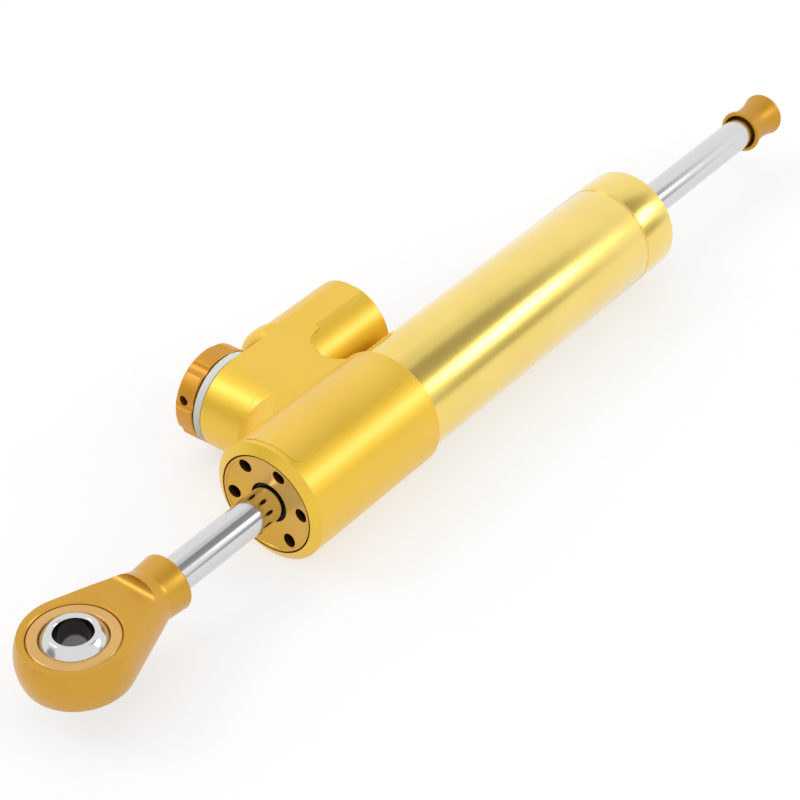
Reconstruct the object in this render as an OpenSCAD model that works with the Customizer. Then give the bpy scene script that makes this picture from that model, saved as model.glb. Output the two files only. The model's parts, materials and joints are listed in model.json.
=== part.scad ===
// Motorcycle steering damper: a rod runs right through an oil cylinder, a side
// barrel holds the damping adjuster, and a small reservoir lies beside the tube.
// Millimetres. +X runs along the rod from the eye to the free end, +Y towards
// the adjuster, +Z up. The origin is the centre of the ball in the eye.

/* [Rod and travel] */
// Diameter of the rod
rod_d = 8; // [7:0.25:9]
// Full travel of the rod through the cylinder
stroke = 75; // [60:1:110]
// Travel left at rest for the eye to move towards the head
rest_in = 26.7; // [10:0.1:45]
// Rod that still shows at either end of the travel
stop_gap = 3.4; // [1:0.1:6]
// Thread that holds the end piece on the rod
rod_thread_d = 6; // [4:0.5:6.5]

/* [Ball joint] */
// Bolt hole through the ball
bolt_d = 8; // [6:0.5:9]
// Diameter of the ball
ball_d = 15.9; // [14:0.1:16.5]
// Width of the ball across its flat faces
ball_w = 12; // [10:0.5:13]
// Metal of the bearing race round the ball
race_wall = 1.55; // [1.3:0.05:2.6]
// Width of the bearing race
race_w = 9; // [7:0.5:9.3]

/* [Eye] */
// Metal round the race in the eye
eye_wall = 2.9; // [2:0.1:4]
// Thickness of the eye across its milled flats
eye_t = 9.4; // [9.4:0.1:11]
// Distance from the ball to the end of the milled flats
flat_end = 18; // [16:0.5:20]
// Radius of the fillet that ends the milled flats
flat_fillet = 2; // [1:0.1:2.2]
// Distance from the ball to the narrowest point of the neck
neck_x = 20.8; // [20.4:0.2:23]
// Radius of the neck at its narrowest point
neck_r = 6.1; // [5.6:0.1:6.2]
// Radius of the shank where the rod enters it
shank_r = 6.5; // [6.3:0.1:8]
// Distance from the ball to the end of the shank
shank_end = 26.6; // [25:0.2:32]

/* [Cylinder] */
// Outside diameter of the tube
tube_d = 26; // [25:0.5:30]
// Wall of the outer tube
tube_wall = 1.3; // [1:0.1:1.6]
// Oil passage between the outer tube and the liner
passage_gap = 0.7; // [0.5:0.1:1]
// Wall of the liner that the piston runs in
liner_wall = 1; // [0.8:0.1:1.4]
// Length of the piston
piston_len = 10; // [8:0.5:16]
// Width of the piston ring
ring_w = 3; // [2:0.25:4]
// Length of the rear cap that shows behind the tube
band_len = 11.2; // [8:0.2:13]

/* [Head] */
// Length of the collar round the tube
collar_len = 41.7; // [40:0.1:50]
// Metal of the collar round the tube
collar_wall = 1.2; // [1:0.1:2.5]
// Depth of the tube in the collar
socket_depth = 11.5; // [8:0.5:12]
// Length of the gland that closes the front
gland_len = 14.2; // [13.6:0.2:15]
// Number of pin holes in the face of the gland
pin_holes = 6; // [3:1:8]
// Diameter of a pin hole
pin_hole_d = 3.2; // [2:0.1:3.4]
// Length of a rod bush
bush_len = 6.5; // [5:0.5:6.5]

/* [Valve barrel] */
// Distance from the front of the head to the barrel's axis
barrel_offset = 22.7; // [22:0.1:27]
// Radius of the barrel
barrel_r = 11; // [10.4:0.1:11.6]
// How far the barrel reaches beyond the reservoir's axis
barrel_past = 2.7; // [2:0.1:4]
// Radius of the adjuster cartridge
cartridge_r = 8; // [7:0.1:8.4]
// Diameter of the adjuster spindle
spindle_d = 5; // [4:0.25:5.5]

/* [Reservoir] */
// Outside radius of the reservoir
reservoir_r = 11.2; // [10.6:0.1:11.8]
// Wall of the reservoir
reservoir_wall = 1.8; // [1.4:0.1:2.4]
// Gap between the tube and the reservoir
reservoir_gap = 2.2; // [2:0.1:4]
// Length of the reservoir
reservoir_len = 27.7; // [27:0.1:40]

/* [Adjuster] */
// Radius of the knob
knob_r = 10.9; // [10:0.1:11.4]
// Width of the knob
knob_w = 5; // [4.5:0.25:9]
// Number of flutes round the knob
knob_flutes = 8; // [5:1:12]
// Width of a flute
flute_w = 3.2; // [1.6:0.1:3.6]
// Thickness of the washer under the knob
washer_t = 1.8; // [0.8:0.1:2]
// Number of click positions in one turn
clicks = 20; // [12:1:24]

/* [End piece] */
// Radius of the flanges of the end piece
spool_r = 5.5; // [5.2:0.1:7]
// Radius of its waist
spool_waist_r = 4.6; // [4.4:0.1:5]
// Length of the end piece
spool_len = 11.8; // [11:0.1:18]

/* [Label] */
// Length of the label along the collar
label_len = 36.6; // [20:0.5:37.5]
// Width of the label, measured straight across
label_w = 14.6; // [10:0.2:15]

/* [Hidden] */
$fn = 96;

// Named clearances
press_gap = 0.02;
run_gap = 0.04;
seat_gap = 0.1;
clear_gap = 0.3;
thread_relief = 0.3;
// How far a cutting tool runs past the metal that it takes away
over = 1;

// Radii that follow from the rod and the tube
rod_r = rod_d / 2;
tube_r = tube_d / 2;
tube_bore_r = tube_r - tube_wall;
liner_r = tube_bore_r - passage_gap;
liner_bore_r = liner_r - liner_wall;
piston_r = liner_bore_r - run_gap;
collar_r = tube_r + collar_wall;
gland_bore_r = liner_r + 0.9;
gland_r = gland_bore_r - 0.35;
bush_r = rod_r + 1.2;
wiper_r = rod_r + 1.6;
mouth_r = rod_r + 0.75;
seal_r = rod_r + 2.2;
rod_hole_r = rod_r + 0.3;
race_r = ball_d / 2 + race_wall;

// Stations along the rod
front_show = rest_in + stop_gap;
rear_show = stroke - rest_in + stop_gap;
head_x = shank_end + front_show;
gland_end = head_x + gland_len;
nose_len = 2;
chamber_start = gland_end + nose_len;
barrel_x = head_x + barrel_offset;
collar_end = head_x + collar_len;
socket_x = collar_end - socket_depth;
port_d = 3;
port_margin = 1.1;
piston_x = barrel_x + port_d / 2 + port_margin + stroke - rest_in + piston_len / 2;
rear_port_x = piston_x + rest_in + piston_len / 2 + port_margin + port_d / 2;
chamber_end = rear_port_x + port_d / 2 + 1.4;
guide_len = 21;
tube_end = chamber_end + guide_len;
band_x = tube_end - band_len;
joint_gap = 0.6;
liner_end = chamber_end + 3.5;
spool_x = tube_end + rear_show;

// Barrel, reservoir and knob
reservoir_y = tube_r + reservoir_gap + reservoir_r;
barrel_y = reservoir_y + barrel_past;
washer_r = barrel_r - 0.15;
knob_back = barrel_y + washer_t + 0.6;
knob_front = knob_back + knob_w;
boss_x = barrel_x + max(knob_r, washer_r) + clear_gap;
boss_r = reservoir_r + 0.5;
boss_len = 4.6;
reservoir_end = boss_x + reservoir_len;
reservoir_bore_r = reservoir_r - reservoir_wall;
reservoir_floor = boss_x + 3.7;
flat_cut = 0.3;
flat_z = min(barrel_r, reservoir_r) - flat_cut;
relief = 0.01;
cavity_floor = tube_r + 3.5;
seat_floor = tube_r - 0.8;
seat_r = 3.5;
cartridge_floor = cavity_floor + 3;
needle_r = 3;
needle_top = cartridge_floor + 4.6;
spindle_floor = cartridge_floor + 5.5;
spindle_r = spindle_d / 2;
spindle_body_r = spindle_r + 1.5;
plug_len = 4.5;
plug_recess = 1.8;
plug_x = reservoir_end - plug_recess - plug_len;
float_x = reservoir_floor + 4.5;
float_len = 5;

// A solid turned about the X axis from points given as [x, radius].
module turned(points) {
    rotate([0, 90, 0])
        rotate_extrude()
            polygon([for (p = points) [p[1], p[0]]]);
}

// A plain ring or rod about the X axis.
module ring_x(x, len, outer, inner = 0) {
    translate([x, 0, 0])
        rotate([0, 90, 0])
            difference() {
                cylinder(r = outer, h = len);
                if (inner > 0)
                    translate([0, 0, -1])
                        cylinder(r = inner, h = len + 2);
            }
}

// Places children that were made along Z on the barrel's axis, Z becoming +Y.
module on_barrel(y) {
    translate([barrel_x, y, 0])
        rotate([-90, 0, 0])
            children();
}

// Places children that were made along Z on the reservoir's axis, Z becoming +X.
module on_reservoir(x) {
    translate([x, reservoir_y, 0])
        rotate([0, 90, 0])
            children();
}

// An O-ring with its centre line of radius mean in the plane Z = 0.
module o_ring(mean, wire) {
    rotate_extrude()
        translate([mean, 0])
            circle(r = wire, $fn = 32);
}

// A coil spring of round wire along Z, swept as one tube. The end turns close up.
module coil(mean, wire, length, turns) {
    sides = 8;
    per_turn = 20;
    rings = turns * per_turn;
    function share(t) = t < 1 ? 0.4 * t * t
        : t > turns - 1 ? turns - 1.2 - 0.4 * (turns - t) * (turns - t) + 0.4
        : t - 0.6;
    rise = (length - 2 * wire) / share(turns);
    points = [
        for (i = [0 : rings])
            let (t = i / per_turn, a = 360 * t)
                for (k = [0 : sides - 1])
                    let (b = 360 * k / sides, r = mean + wire * cos(b))
                        [r * cos(a), r * sin(a), wire + rise * share(t) + wire * sin(b)]
    ];
    walls = [
        for (i = [0 : rings - 1], k = [0 : sides - 1])
            let (n = (k + 1) % sides, p = i * sides, q = p + sides)
                each [[p + k, q + n, q + k], [p + k, p + n, q + n]]
    ];
    start = [for (k = [0 : sides - 1]) k];
    finish = [for (k = [sides - 1 : -1 : 0]) rings * sides + k];
    polyhedron(points, concat(walls, [finish], [start]));
}

// Room for the wiper, bush and seal of a rod guide, with its mouth at X = 0. A
// narrow lip at the mouth holds the wiper in.
lip_len = 1.7;
wiper_depth = 4.1;
seal_room = 3.6;
module guide_bore(depth) {
    bush_at = wiper_depth;
    seal_at = bush_at + bush_len;
    turned([
        [-over, 0], [-over, mouth_r], [lip_len, mouth_r],
        [lip_len, wiper_r], [bush_at, wiper_r],
        [bush_at, bush_r], [seal_at, bush_r],
        [seal_at, seal_r], [seal_at + seal_room, seal_r],
        [seal_at + seal_room, rod_hole_r], [depth + over, rod_hole_r], [depth + over, 0]
    ]);
}
module guide_bush() {
    ring_x(wiper_depth, bush_len, bush_r - press_gap, rod_r + run_gap);
}
module guide_seal() {
    seal_at = wiper_depth + bush_len + seat_gap;
    seal_len = seal_room - 2 * seat_gap;
    turned([
        [seal_at, rod_r + 0.5], [seal_at, seal_r - press_gap],
        [seal_at + seal_len, seal_r - press_gap], [seal_at + seal_len, rod_r + 1.5],
        [seal_at + seal_len - 1.3, rod_r + 1.1], [seal_at + seal_len - 0.2, rod_r + run_gap],
        [seal_at + 1, rod_r + run_gap]
    ]);
}
module guide_wiper() {
    face = lip_len + seat_gap;
    turned([
        [wiper_depth, rod_r + run_gap], [wiper_depth, wiper_r - press_gap],
        [face, wiper_r - press_gap], [face, rod_r + 1.1], [face + 0.6, rod_r + 0.6],
        [face - 0.3, rod_r + 0.3], [face - 0.4, rod_r + run_gap]
    ]);
}

// Head block: collar, gusset, barrel, web and reservoir, machined from one bar.
rim_land = 0.15;
chamfer_r = gland_bore_r + rim_land;
chamfer_len = 1.4;
gusset_start = [head_x + 8.2, 2.05];
gusset_end = [barrel_x, 12.4];
web_end = collar_end + 2.6;
scallop_r = 6.9;
scallop_at = [collar_end + 1.9, (tube_r + reservoir_y) / 2 - 5.1, flat_z];
barrel_step_y = tube_r + 4.2;

spigot_r = tube_r - thread_relief;

module collar_form() {
    turned([
        [head_x, 0], [head_x, chamfer_r], [head_x + chamfer_len, collar_r],
        [collar_end - 0.4, collar_r], [collar_end, collar_r - 0.4], [collar_end, 0]
    ]);
}

module barrel_form() {
    on_barrel(0)
        rotate_extrude()
            polygon([
                [0, 0], [barrel_r + relief, 0], [barrel_r + relief, barrel_step_y],
                [barrel_r - 0.15, barrel_step_y + 0.15], [barrel_r - 0.15, barrel_y - 0.3],
                [barrel_r - 0.45, barrel_y], [0, barrel_y]
            ]);
}

module gusset_form() {
    run = gusset_end - gusset_start;
    translate([gusset_start[0], gusset_start[1], 0])
        rotate([0, 0, atan2(run[1], run[0])])
            rotate([0, 90, 0])
                cylinder(r = barrel_r + 2 * relief, h = norm(run));
}

module reservoir_form() {
    translate([0, reservoir_y, 0])
        turned([
            [boss_x + 3, 0], [boss_x + 3, reservoir_r + relief],
            [reservoir_end - 0.4, reservoir_r + relief],
            [reservoir_end, reservoir_r + relief - 0.4], [reservoir_end, 0]
        ]);
}

// The rounded front end of the reservoir, a little fuller than the rest of it.
module boss_form() {
    round_r = 3;
    back = boss_x + boss_len;
    translate([0, reservoir_y, 0])
        turned(concat(
            [[boss_x, 0]],
            [for (a = [0 : 10 : 90])
                [boss_x + round_r * (1 - cos(a)), boss_r - round_r * (1 - sin(a))]],
            [for (t = [0 : 0.125 : 1])
                [back + 3 * t, boss_r - (boss_r - reservoir_r + 0.3) * (1 - cos(180 * t)) / 2]],
            [[back + 3, 0]]
        ));
}

module web_form() {
    difference() {
        translate([0, 0, -flat_z - 1])
            linear_extrude(height = 2 * flat_z + 2)
                polygon([
                    gusset_start, gusset_end, [barrel_x, barrel_y], [boss_x + boss_len, barrel_y],
                    [boss_x + boss_len, reservoir_y], [web_end, reservoir_y], [web_end, 1], [gusset_start[0], 1]
                ]);
        for (side = [-1, 1])
            translate([scallop_at[0], scallop_at[1], side * scallop_at[2]])
                rotate([0, -side * 45, 0])
                    sphere(r = scallop_r);
    }
}

module head_block() {
    color("goldenrod")
        difference() {
            union() {
                collar_form();
                intersection() {
                    union() {
                        barrel_form();
                        gusset_form();
                        web_form();
                        boss_form();
                        reservoir_form();
                    }
                    translate([head_x - over, -over, -flat_z])
                        cube([reservoir_end, reservoir_y + boss_r + 2 * over, 2 * flat_z]);
                }
            }
            // Main bore: gland thread, liner seat, tube thread and the tube's own width
            turned([
                [head_x - over, 0], [head_x - over, gland_bore_r], [gland_end, gland_bore_r],
                [gland_end, liner_r + press_gap], [socket_x - 2, liner_r + press_gap],
                [socket_x - 2, tube_bore_r], [socket_x, tube_bore_r],
                [socket_x, spigot_r + press_gap], [collar_end, spigot_r + press_gap],
                [collar_end, tube_r + press_gap], [web_end + over, tube_r + press_gap],
                [web_end + over, 0]
            ]);
            // Cartridge cavity and valve seat pocket
            on_barrel(cavity_floor)
                cylinder(r = cartridge_r, h = barrel_y);
            on_barrel(seat_floor)
                cylinder(r = seat_r, h = cavity_floor - seat_floor + over);
            on_barrel(liner_r - over / 2)
                cylinder(d = port_d, h = seat_floor - liner_r + over);
            // Passage from the valve to the gap round the liner
            translate([socket_x - 1, tube_bore_r - over, 0])
                rotate([-90, 0, 0])
                    cylinder(d = 1.6, h = cavity_floor - tube_bore_r + 2 * over);
            // Passage from the valve to the reservoir
            translate([barrel_x, reservoir_y - reservoir_bore_r + 1.4, 0])
                rotate([0, 90, 0])
                    cylinder(d = 1.8, h = reservoir_floor - barrel_x + over);
            // Reservoir bore with its circlip groove
            on_reservoir(0)
                rotate_extrude()
                    polygon([
                        [0, reservoir_floor], [reservoir_bore_r, reservoir_floor],
                        [reservoir_bore_r, plug_x + plug_len], [reservoir_bore_r + 0.6, plug_x + plug_len],
                        [reservoir_bore_r + 0.6, plug_x + plug_len + 1.1],
                        [reservoir_bore_r, plug_x + plug_len + 1.1],
                        [reservoir_bore_r, reservoir_end + over], [0, reservoir_end + over]
                    ]);
        }
}

// The tube's thread is turned down, and its shoulder stops against the collar. Beside
// the web it is a little slimmer, so the seat for a clamp starts clear of the web.
tube_relief = 0.2;
seat_start = web_end + 0.2;
module cylinder_tube() {
    color("khaki")
        turned([
            [socket_x, tube_bore_r], [socket_x, spigot_r],
            [collar_end + press_gap, spigot_r], [collar_end + press_gap, tube_r - tube_relief],
            [seat_start, tube_r - tube_relief], [seat_start, tube_r],
            [band_x - joint_gap / 2, tube_r], [band_x - joint_gap / 2, tube_r - tube_relief],
            [band_x - 0.1, tube_r - tube_relief], [band_x - 0.1, tube_bore_r]
        ]);
}

module inner_liner() {
    color("silver")
        difference() {
            ring_x(gland_end + seat_gap, liner_end - gland_end - 2 * seat_gap, liner_r, liner_bore_r);
            on_barrel(liner_bore_r - 1)
                cylinder(d = port_d, h = 3);
            for (a = [0 : 90 : 270])
                rotate([a, 0, 0])
                    translate([rear_port_x, 0, liner_bore_r - 1])
                        cylinder(d = port_d, h = 3);
        }
}

// The gland screws into the head. Its face is dished inside a flat rim, and its pin
// holes take a two-pin spanner.
dish_r = gland_r - 0.65;
dish_step = 0.3;
dish_floor = 0.9;
pin_land = 0.1;
pin_circle_r = dish_r - pin_land - pin_hole_d / 2;
pin_turn = -8.1;
oring_wire = 0.75;
gland_groove_x = gland_end - 3.2;

module front_gland() {
    edge = 0.2;
    groove_r = gland_bore_r - 2 * oring_wire - run_gap;
    color("goldenrod")
        difference() {
            turned(concat(
                [
                    [head_x + dish_floor, 0], [head_x + dish_floor, mouth_r - 0.2],
                    [head_x + dish_step, dish_r], [head_x, dish_r + 0.1]
                ],
                [for (a = [0 : 30 : 90])
                    [head_x + edge * (1 - cos(a)), gland_r - edge * (1 - sin(a))]],
                [
                    [head_x + 2, gland_r], [head_x + 2, gland_bore_r - run_gap],
                    [gland_groove_x, gland_bore_r - run_gap], [gland_groove_x, groove_r],
                    [gland_groove_x + 1.8, groove_r], [gland_groove_x + 1.8, gland_bore_r - run_gap],
                    [gland_end, gland_bore_r - run_gap], [gland_end, liner_bore_r - press_gap],
                    [chamber_start, liner_bore_r - press_gap], [chamber_start, 0]
                ]
            ));
            translate([head_x, 0, 0])
                guide_bore(gland_len + nose_len);
            for (i = [0 : pin_holes - 1])
                rotate([pin_turn + 360 * i / pin_holes, 0, 0])
                    translate([head_x - 1, pin_circle_r, 0])
                        rotate([0, 90, 0])
                            cylinder(d = pin_hole_d, h = 4.5, $fn = 32);
        }
}

module front_gland_oring() {
    color("black")
        translate([gland_groove_x + 0.9, 0, 0])
            rotate([0, 90, 0])
                o_ring(gland_bore_r - oring_wire - run_gap / 2, oring_wire - press_gap);
}

module front_rod_bush() {
    color("peru")
        translate([head_x, 0, 0])
            guide_bush();
}

module front_rod_seal() {
    color("darkslategray")
        translate([head_x, 0, 0])
            guide_seal();
}

module front_wiper() {
    color("black")
        translate([head_x, 0, 0])
            guide_wiper();
}

// The rear cap screws into the tube, and carries the same bush, seal and wiper.
cap_groove_x = liner_end + 1.4;

module at_rear() {
    translate([tube_end, 0, 0])
        mirror([1, 0, 0])
            children();
}

module rear_cap() {
    inner_r = tube_bore_r - press_gap;
    groove_r = tube_bore_r - 2 * oring_wire - run_gap;
    color("goldenrod")
        difference() {
            turned([
                [chamber_end, 0], [chamber_end, liner_bore_r - press_gap],
                [liner_end, liner_bore_r - press_gap], [liner_end, inner_r],
                [cap_groove_x, inner_r], [cap_groove_x, groove_r],
                [cap_groove_x + 1.8, groove_r], [cap_groove_x + 1.8, inner_r],
                [band_x, inner_r], [band_x, tube_r - 0.2], [band_x + joint_gap / 2, tube_r - 0.2],
                [band_x + joint_gap / 2, tube_r - press_gap],
                [tube_end - 0.5, tube_r - press_gap], [tube_end, tube_r - 0.5], [tube_end, 0]
            ]);
            at_rear()
                guide_bore(guide_len);
        }
}

module rear_cap_oring() {
    color("black")
        translate([cap_groove_x + 0.9, 0, 0])
            rotate([0, 90, 0])
                o_ring(tube_bore_r - oring_wire - run_gap / 2, oring_wire - press_gap);
}

module rear_rod_bush() {
    color("peru")
        at_rear()
            guide_bush();
}

module rear_rod_seal() {
    color("darkslategray")
        at_rear()
            guide_seal();
}

module rear_wiper() {
    color("black")
        at_rear()
            guide_wiper();
}

// The cartridge screws into the barrel. It guides the spindle and the needle.
cartridge_groove_y = cartridge_floor + 1.2;
detent_r = 0.95;
detent_circle_r = cartridge_r - 2;
detent_y = barrel_y + washer_t - 0.25;
detent_pocket = 4.4;

module at_detent(y) {
    on_barrel(y)
        translate([detent_circle_r, 0, 0])
            children();
}

module adjuster_cartridge() {
    top = barrel_y - seat_gap;
    groove_r = cartridge_r - 2 * oring_wire - run_gap;
    color("burlywood")
        difference() {
            on_barrel(0)
                rotate_extrude()
                    polygon([
                        [needle_r + run_gap, cartridge_floor], [cartridge_r - run_gap, cartridge_floor],
                        [cartridge_r - run_gap, cartridge_groove_y], [groove_r, cartridge_groove_y],
                        [groove_r, cartridge_groove_y + 1.8], [cartridge_r - run_gap, cartridge_groove_y + 1.8],
                        [cartridge_r - run_gap, top], [spindle_body_r + run_gap, top],
                        [spindle_body_r + run_gap, spindle_floor], [needle_r + run_gap, spindle_floor]
                    ]);
            at_detent(top - detent_pocket)
                cylinder(r = detent_r + run_gap, h = detent_pocket + 1, $fn = 32);
        }
}

module cartridge_oring() {
    color("black")
        on_barrel(cartridge_groove_y + 0.9)
            o_ring(cartridge_r - oring_wire - run_gap / 2, oring_wire - press_gap);
}

module valve_seat() {
    color("silver")
        on_barrel(seat_floor + seat_gap)
            difference() {
                cylinder(r = seat_r - press_gap, h = cavity_floor - seat_floor - seat_gap);
                translate([0, 0, -over])
                    cylinder(r = 0.9, h = cavity_floor - seat_floor + 2 * over, $fn = 48);
            }
}

module adjuster_washer() {
    color("gainsboro")
        difference() {
            on_barrel(barrel_y)
                rotate_extrude()
                    polygon([
                        [spindle_r + 0.2, 0], [washer_r, 0], [washer_r, washer_t],
                        [spindle_r + 0.2, washer_t]
                    ]);
            at_detent(barrel_y - 1)
                cylinder(r = detent_r + seat_gap, h = washer_t + 2, $fn = 32);
        }
}

module detent_ball() {
    color("silver")
        at_detent(detent_y)
            sphere(r = detent_r, $fn = 32);
}

module detent_spring() {
    wire = 0.16;
    floor_y = barrel_y - seat_gap - detent_pocket;
    color("silver")
        at_detent(floor_y + run_gap)
            coil(detent_r - wire - run_gap, wire, detent_y - detent_r - floor_y - 2 * run_gap, 5);
}

// Knob with its flutes, its bore for the spindle and the click pits in its back.
screw_turn = 160.5;
flute_turn = 164;
screw_y = knob_back + knob_w * 0.56;
screw_r = 1.15;
flute_depth = 0.55;
flute_r = (flute_w * flute_w / 4 + flute_depth * flute_depth) / (2 * flute_depth);
hub_back = knob_back - 0.5;
bore_end = knob_front - 1.5;

module adjuster_knob() {
    hub_r = detent_circle_r + detent_r + 0.7;
    roof = detent_y + detent_r + run_gap;
    color("darkgoldenrod")
        difference() {
            on_barrel(0)
                rotate_extrude()
                    polygon([
                        [0, hub_back], [hub_r, hub_back], [hub_r, knob_back],
                        [knob_r - 0.3, knob_back], [knob_r, knob_back + 0.3],
                        [knob_r, knob_front - 0.6], [knob_r - 0.6, knob_front],
                        [knob_r - 2.2, knob_front], [knob_r - 2.6, knob_front - 0.5],
                        [0, knob_front - 0.5]
                    ]);
            on_barrel(hub_back - 1)
                cylinder(r = spindle_r + press_gap, h = bore_end - hub_back + 1);
            // Track for the click ball, with a shallow pit at each click
            on_barrel(0)
                rotate_extrude()
                    polygon([
                        [detent_circle_r - detent_r, hub_back - 1], [detent_circle_r + detent_r, hub_back - 1],
                        [detent_circle_r + detent_r, hub_back + 0.1], [detent_circle_r + 0.35, roof],
                        [detent_circle_r - 0.35, roof], [detent_circle_r - detent_r, hub_back + 0.1]
                    ]);
            for (i = [0 : clicks - 1])
                on_barrel(detent_y + 0.3)
                    rotate([0, 0, 360 * i / clicks])
                        translate([detent_circle_r, 0, 0])
                            cylinder(r = 0.5, h = detent_r, $fn = 16);
            for (i = [0 : knob_flutes - 1])
                on_barrel(hub_back - 1)
                    rotate([0, 0, -flute_turn + 360 * i / knob_flutes])
                        translate([knob_r - flute_depth + flute_r, 0, 0])
                            cylinder(r = flute_r, h = knob_w + 4, $fn = 48);
            on_barrel(screw_y)
                rotate([0, 0, -screw_turn])
                    rotate([0, 90, 0])
                        cylinder(r = screw_r, h = knob_r + 2, $fn = 32);
        }
}

module knob_grub_screw() {
    length = 4.5;
    color("dimgray")
        on_barrel(screw_y)
            rotate([0, 0, -screw_turn])
                translate([spindle_r + press_gap, 0, 0])
                    rotate([0, 90, 0])
                        difference() {
                            cylinder(r = screw_r - press_gap, h = length, $fn = 32);
                            translate([0, 0, length - 1.5])
                                cylinder(r = 0.65, h = 2, $fn = 6);
                        }
}

// The blade on the spindle's inner end turns the needle, which is free to climb.
blade_t = 1.2;
spindle_groove_y = spindle_floor + 1.4;

module adjuster_spindle() {
    top = barrel_y - seat_gap;
    groove_r = spindle_body_r - 1.2;
    color("silver")
        union() {
            on_barrel(0)
                rotate_extrude()
                    polygon([
                        [0, spindle_floor + seat_gap], [spindle_body_r, spindle_floor + seat_gap],
                        [spindle_body_r, spindle_groove_y], [groove_r, spindle_groove_y],
                        [groove_r, spindle_groove_y + 1.4], [spindle_body_r, spindle_groove_y + 1.4],
                        [spindle_body_r, top], [spindle_r, top], [spindle_r, bore_end - seat_gap],
                        [0, bore_end - seat_gap]
                    ]);
            translate([barrel_x - blade_t / 2, spindle_floor - 2.6, -needle_r + 0.9])
                cube([blade_t, 3.5, 2 * needle_r - 1.8]);
        }
}

module spindle_oring() {
    color("black")
        on_barrel(spindle_groove_y + 0.7)
            o_ring(spindle_body_r - 0.58, 0.55);
}

module metering_needle() {
    tip_r = 0.55;
    shoulder = cavity_floor + 1;
    color("silver")
        difference() {
            on_barrel(0)
                rotate_extrude()
                    polygon([
                        [0, cavity_floor - 1.6], [tip_r - 0.2, cavity_floor - 1.6],
                        [tip_r, shoulder - 0.3], [1.6, shoulder + 1.2], [needle_r, shoulder + 1.2],
                        [needle_r, needle_top], [0, needle_top]
                    ]);
            translate([barrel_x - blade_t / 2 - run_gap, spindle_floor - 2.6 - 0.8, -needle_r - 1])
                cube([blade_t + 2 * run_gap, 6, 2 * needle_r + 2]);
        }
}

// Reservoir: a sprung floating piston parts the oil from the air behind it.
module reservoir_plug() {
    groove_r = reservoir_bore_r - 2 * oring_wire - run_gap;
    color("goldenrod")
        on_reservoir(0)
            rotate_extrude()
                polygon([
                    [0, plug_x], [reservoir_bore_r - run_gap, plug_x],
                    [reservoir_bore_r - run_gap, plug_x + 1.2], [groove_r, plug_x + 1.2],
                    [groove_r, plug_x + 3], [reservoir_bore_r - run_gap, plug_x + 3],
                    [reservoir_bore_r - run_gap, plug_x + plug_len - press_gap],
                    [0, plug_x + plug_len - press_gap]
                ]);
}

module reservoir_plug_oring() {
    color("black")
        on_reservoir(plug_x + 2.1)
            o_ring(reservoir_bore_r - oring_wire - run_gap / 2, oring_wire - press_gap);
}

module reservoir_circlip() {
    color("dimgray")
        on_reservoir(plug_x + plug_len + 0.05)
            difference() {
                cylinder(r = reservoir_bore_r + 0.6 - press_gap, h = 1);
                translate([0, 0, -1])
                    cylinder(r = reservoir_bore_r - 1.6, h = 3);
                translate([reservoir_bore_r - 2.5, -2, -1])
                    cube([5, 4, 3]);
            }
}

module reservoir_spring() {
    wire = 0.6;
    start = float_x + float_len + press_gap;
    color("silver")
        on_reservoir(start)
            coil(reservoir_bore_r - 2.6, wire, plug_x - start - press_gap, 4);
}

module floating_piston() {
    groove_r = reservoir_bore_r - 2 * oring_wire - run_gap;
    color("goldenrod")
        on_reservoir(0)
            rotate_extrude()
                polygon([
                    [0, float_x], [reservoir_bore_r - run_gap, float_x],
                    [reservoir_bore_r - run_gap, float_x + 1.6], [groove_r, float_x + 1.6],
                    [groove_r, float_x + 3.4], [reservoir_bore_r - run_gap, float_x + 3.4],
                    [reservoir_bore_r - run_gap, float_x + float_len], [0, float_x + float_len]
                ]);
}

module floating_piston_oring() {
    color("black")
        on_reservoir(float_x + 2.5)
            o_ring(reservoir_bore_r - oring_wire - run_gap / 2, oring_wire - press_gap);
}

// A thin clear film on the crown of the collar.
label_t = 0.1;
label_side = 0.45;

module label_film() {
    corner = 1.5;
    start = head_x + chamfer_len + 1.15;
    color("khaki")
        intersection() {
            ring_x(start - 1, label_len + 2, collar_r + press_gap + label_t, collar_r + press_gap);
            translate([start, label_side - label_w / 2, 0])
                linear_extrude(height = collar_r + 5)
                    union() {
                        for (x = [corner, label_len - corner], y = [corner, label_w - corner])
                            translate([x, y])
                                circle(r = corner, $fn = 32);
                        translate([corner, 0])
                            square([label_len - 2 * corner, label_w]);
                        translate([0, corner])
                            square([label_len, label_w - 2 * corner]);
                    }
        }
}

// Piston and rod
groove_depth = 1.5;

module piston() {
    half = ring_w / 2 + run_gap;
    color("goldenrod")
        turned([
            [piston_x - piston_len / 2, rod_r + press_gap], [piston_x - piston_len / 2, piston_r - 0.4],
            [piston_x - piston_len / 2 + 0.4, piston_r], [piston_x - half, piston_r],
            [piston_x - half, piston_r - groove_depth], [piston_x + half, piston_r - groove_depth],
            [piston_x + half, piston_r], [piston_x + piston_len / 2 - 0.4, piston_r],
            [piston_x + piston_len / 2, piston_r - 0.4], [piston_x + piston_len / 2, rod_r + press_gap]
        ]);
}

module piston_ring() {
    color("ivory")
        ring_x(piston_x - ring_w / 2, ring_w, piston_r + press_gap, piston_r - groove_depth + run_gap);
}

clip_t = 1;
clip_groove_r = rod_r - 0.6;

module piston_clips() {
    color("dimgray")
        for (side = [-1, 1])
            translate([piston_x + side * (piston_len / 2 + press_gap + clip_t / 2), 0, 0])
                difference() {
                    ring_x(-clip_t / 2, clip_t, rod_r + 1.7, clip_groove_r + press_gap);
                    translate([-2, -1.2, 0])
                        cube([4, 2.4, rod_r + 3]);
                }
}

rod_start = race_r + 2.6;
rod_step_x = spool_x + 2.6;
thread_end = spool_x + spool_len - 3.2;

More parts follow.
